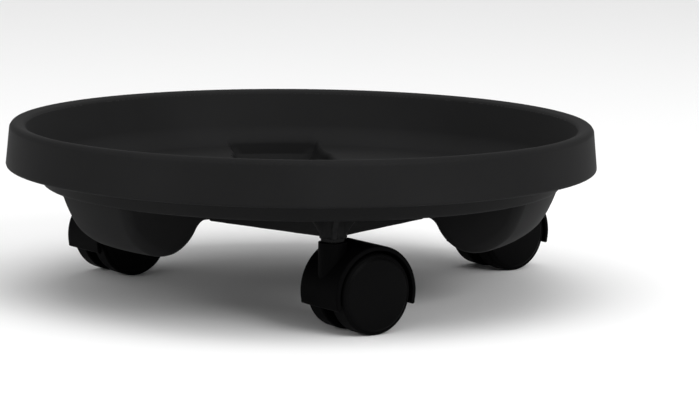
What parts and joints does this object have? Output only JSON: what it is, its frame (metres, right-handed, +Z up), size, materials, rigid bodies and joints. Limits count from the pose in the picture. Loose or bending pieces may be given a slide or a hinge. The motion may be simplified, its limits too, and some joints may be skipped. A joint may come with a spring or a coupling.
{
  "type": "plant pot caddy",
  "caption": "Round saucer tray on hooded twin-wheel swivel casters, with hanging water pods, for rolling a heavy plant pot about.",
  "frame": {"origin": "on the ground, directly under the tray's axis", "axes": "+Z up, towards the rim; -Y towards one of the three casters; +X to the right of it"},
  "size_m": [0.3048, 0.3048, 0.0889],
  "materials": {
    "tray_plastic": "satin moulded polypropylene, charcoal black",
    "hood_plastic": "satin moulded nylon, near black",
    "wheel_plastic": "smooth nylon with a fine turned grain, near black",
    "cap_plastic": "semi-gloss moulded nylon, near black",
    "zinc_steel": "zinc-plated steel pins and spring rings"
  },
  "bodies": {
    "tray": {"tray": "tray_plastic", "front_grip_ring": "zinc_steel", "right_grip_ring": "zinc_steel", "left_grip_ring": "zinc_steel"},
    "front_caster": {"front_stem": "zinc_steel", "front_hood": "hood_plastic", "front_axle": "zinc_steel"},
    "front_wheel_left_body": {"front_wheel_left": "wheel_plastic", "front_cap_left": "cap_plastic"},
    "front_wheel_right_body": {"front_wheel_right": "wheel_plastic", "front_cap_right": "cap_plastic"},
    "right_caster": {"right_stem": "zinc_steel", "right_hood": "hood_plastic", "right_axle": "zinc_steel"},
    "right_wheel_left_body": {"right_wheel_left": "wheel_plastic", "right_cap_left": "cap_plastic"},
    "right_wheel_right_body": {"right_wheel_right": "wheel_plastic", "right_cap_right": "cap_plastic"},
    "left_caster": {"left_stem": "zinc_steel", "left_hood": "hood_plastic", "left_axle": "zinc_steel"},
    "left_wheel_left_body": {"left_wheel_left": "wheel_plastic", "left_cap_left": "cap_plastic"},
    "left_wheel_right_body": {"left_wheel_right": "wheel_plastic", "left_cap_right": "cap_plastic"}
  },
  "joints": [
    {"name": "front_swivel", "type": "hinge", "parent": "tray", "child": "front_caster", "pos_m": [0, -0.1187, 0.045], "axis": [0, 0, 1], "continuous": true},
    {"name": "front_left_spin", "type": "hinge", "parent": "front_caster", "child": "front_wheel_left_body", "pos_m": [0.01374, -0.11152, 0.02], "axis": [-0.4633, 0.8862, 0], "continuous": true},
    {"name": "front_right_spin", "type": "hinge", "parent": "front_caster", "child": "front_wheel_right_body", "pos_m": [0.01374, -0.11152, 0.02], "axis": [-0.4633, 0.8862, 0], "continuous": true},
    {"name": "right_swivel", "type": "hinge", "parent": "tray", "child": "right_caster", "pos_m": [0.1028, 0.05935, 0.045], "axis": [0, 0, 1], "continuous": true},
    {"name": "right_left_spin", "type": "hinge", "parent": "right_caster", "child": "right_wheel_left_body", "pos_m": [0.11653, 0.06653, 0.02], "axis": [-0.4633, 0.8862, 0], "continuous": true},
    {"name": "right_right_spin", "type": "hinge", "parent": "right_caster", "child": "right_wheel_right_body", "pos_m": [0.11653, 0.06653, 0.02], "axis": [-0.4633, 0.8862, 0], "continuous": true},
    {"name": "left_swivel", "type": "hinge", "parent": "tray", "child": "left_caster", "pos_m": [-0.1028, 0.05935, 0.045], "axis": [0, 0, 1], "continuous": true},
    {"name": "left_left_spin", "type": "hinge", "parent": "left_caster", "child": "left_wheel_left_body", "pos_m": [-0.08906, 0.06653, 0.02], "axis": [-0.4633, 0.8862, 0], "continuous": true},
    {"name": "left_right_spin", "type": "hinge", "parent": "left_caster", "child": "left_wheel_right_body", "pos_m": [-0.08906, 0.06653, 0.02], "axis": [-0.4633, 0.8862, 0], "continuous": true}
  ]
}
